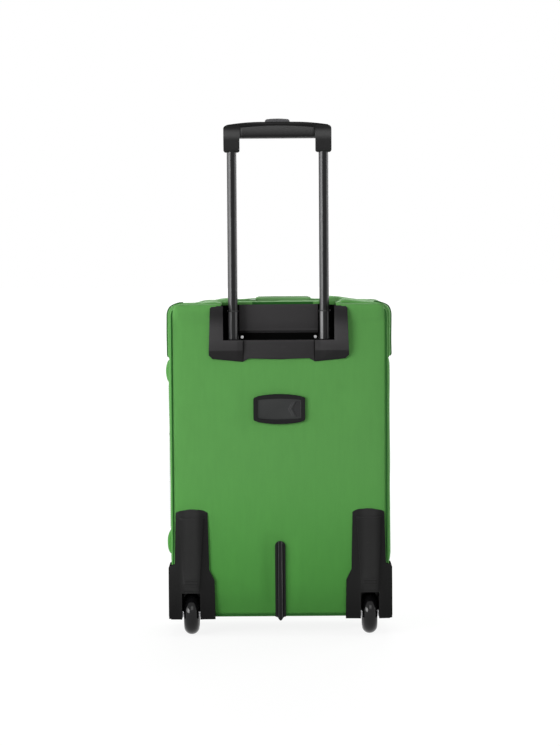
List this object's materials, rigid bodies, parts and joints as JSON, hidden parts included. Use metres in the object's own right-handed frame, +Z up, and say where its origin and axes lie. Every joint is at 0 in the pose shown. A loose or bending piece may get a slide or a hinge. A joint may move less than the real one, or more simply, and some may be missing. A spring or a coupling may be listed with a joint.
{
  "type": "two-wheel soft cabin suitcase",
  "caption": "Soft-sided cabin case on wheels with a telescopic handle, an opening lid, zips, carry handles and a name-tag holder.",
  "frame": {"origin": "floor level under the middle of the case", "axes": "+Z up, +X to the right seen from behind, +Y towards the lid"},
  "size_m": [0.3645, 0.2018, 0.831],
  "materials": {
    "shell_fabric": "polyester weave, matt green",
    "strap_fabric": "lighter green padded weave",
    "piping": "dark green piping and zip tape",
    "lining": "thin grey lining",
    "webbing": "black woven webbing",
    "board": "black board",
    "moulding": "fine-grained black moulding",
    "gloss_moulding": "smooth black moulding",
    "black_tube": "black anodised tube",
    "plain_tube": "plain drawn tube",
    "steel": "zinc-plated steel",
    "zip_metal": "black painted zip hardware",
    "tyre": "black polyurethane tyre",
    "hub": "dark grey nylon hub"
  },
  "bodies": {
    "case": {"back_panel": "shell_fabric", "back_board": "board", "body_gusset": "shell_fabric", "top_panel": "shell_fabric", "back_piping": "piping", "rim_wire": "steel", "body_lining": "lining", "packing_straps": "webbing", "strap_buckle": "moulding", "zip_body": "piping", "lid_hinge": "shell_fabric", "top_handle": "strap_fabric", "side_handle": "shell_fabric", "handle_anchors": "shell_fabric", "front_feet": "moulding", "case_screws": "steel", "trolley_housing": "moulding", "outer_tubes": "plain_tube", "tube_bracket": "moulding", "tube_bushings": "gloss_moulding", "wheel_housing_left": "moulding", "wheel_housing_right": "moulding", "axles": "steel", "tag_frame": "moulding", "skid_bar": "moulding"},
    "lid": {"zip_lid": "piping", "lid_gusset": "shell_fabric", "lid_panel": "shell_fabric", "front_piping": "piping", "lid_lining": "lining", "lower_pocket": "shell_fabric", "upper_pocket": "shell_fabric", "pocket_zips": "piping"},
    "upper_slider": {"upper_slider": "zip_metal"},
    "upper_pull": {"upper_pull": "gloss_moulding"},
    "lower_slider": {"lower_slider": "zip_metal"},
    "lower_pull": {"lower_pull": "gloss_moulding"},
    "low_pocket_slider": {"low_pocket_slider": "zip_metal"},
    "low_pocket_pull": {"low_pocket_pull": "gloss_moulding"},
    "top_pocket_slider": {"top_pocket_slider": "zip_metal"},
    "top_pocket_pull": {"top_pocket_pull": "gloss_moulding"},
    "lower_stage": {"mid_tubes": "black_tube", "mid_collars": "gloss_moulding", "mid_plugs": "gloss_moulding"},
    "upper_stage": {"inner_tubes": "black_tube", "inner_plugs": "gloss_moulding", "grip": "moulding", "grip_insert": "gloss_moulding", "grip_pins": "steel", "button_spring": "steel"},
    "release": {"release_button": "gloss_moulding", "release_linkage": "steel"},
    "lock_pins": {"lock_pins": "steel"},
    "wheel_left": {"tyre_left": "tyre", "hub_left": "hub", "bearings_left": "steel"},
    "wheel_right": {"tyre_right": "tyre", "hub_right": "hub", "bearings_right": "steel"},
    "name_tag": {"tag_card": "gloss_moulding"}
  },
  "joints": [
    {"name": "lid_opening", "type": "hinge", "parent": "case", "child": "lid", "pos_m": [0.176, 0.0391, 0.2685], "axis": [0, 0, -1], "range_deg": [0, 150]},
    {"name": "lower_stage_slide", "type": "slide", "parent": "case", "child": "lower_stage", "axis": [0, 0, 1], "range_m": [-0.0435, 0.22]},
    {"name": "upper_stage_slide", "type": "slide", "parent": "lower_stage", "child": "upper_stage", "axis": [0, 0, 1], "range_m": [-0.252, 0]},
    {"name": "release_press", "type": "slide", "parent": "upper_stage", "child": "release", "axis": [0, 0, -1], "range_m": [0, 0.004], "stiffness_N_per_m": 300, "springref_m": -0.01},
    {"name": "lock_pin_slide", "type": "slide", "parent": "upper_stage", "child": "lock_pins", "axis": [0, 1, 0], "range_m": [0, 0.0016]},
    {"name": "wheel_left_spin", "type": "hinge", "parent": "case", "child": "wheel_left", "pos_m": [-0.144, -0.0669, 0.034], "axis": [1, 0, 0], "continuous": true},
    {"name": "wheel_right_spin", "type": "hinge", "parent": "case", "child": "wheel_right", "pos_m": [0.144, -0.0669, 0.034], "axis": [1, 0, 0], "continuous": true},
    {"name": "name_tag_slide", "type": "slide", "parent": "case", "child": "name_tag", "axis": [1, 0, 0], "range_m": [0, 0.06]},
    {"name": "upper_slider_run", "type": "slide", "parent": "case", "child": "upper_slider", "axis": [0, 0, 1], "range_m": [0, 0.16]},
    {"name": "upper_pull_swing", "type": "hinge", "parent": "upper_slider", "child": "upper_pull", "pos_m": [-0.1816, 0.0391, 0.349], "axis": [0, 1, 0], "range_deg": [-5, 150]},
    {"name": "lower_slider_run", "type": "slide", "parent": "case", "child": "lower_slider", "axis": [0, 0, -1], "range_m": [0, 0.24]},
    {"name": "lower_pull_swing", "type": "hinge", "parent": "lower_slider", "child": "lower_pull", "pos_m": [-0.1816, 0.0391, 0.317], "axis": [0, 1, 0], "range_deg": [-5, 150]},
    {"name": "low_pocket_slider_run", "type": "slide", "parent": "lid", "child": "low_pocket_slider", "axis": [-1, 0, 0], "range_m": [0, 0.24]},
    {"name": "low_pocket_pull_swing", "type": "hinge", "parent": "low_pocket_slider", "child": "low_pocket_pull", "pos_m": [0.12, 0.0993, 0.29], "axis": [1, 0, 0], "range_deg": [-5, 150]},
    {"name": "top_pocket_slider_run", "type": "slide", "parent": "lid", "child": "top_pocket_slider", "axis": [-1, 0, 0], "range_m": [0, 0.24]},
    {"name": "top_pocket_pull_swing", "type": "hinge", "parent": "top_pocket_slider", "child": "top_pocket_pull", "pos_m": [0.12, 0.0993, 0.458], "axis": [1, 0, 0], "range_deg": [-5, 150]}
  ],
  "couplings": [
    {"joint": "lock_pin_slide", "follows": "release_press", "ratio": 0.4}
  ]
}
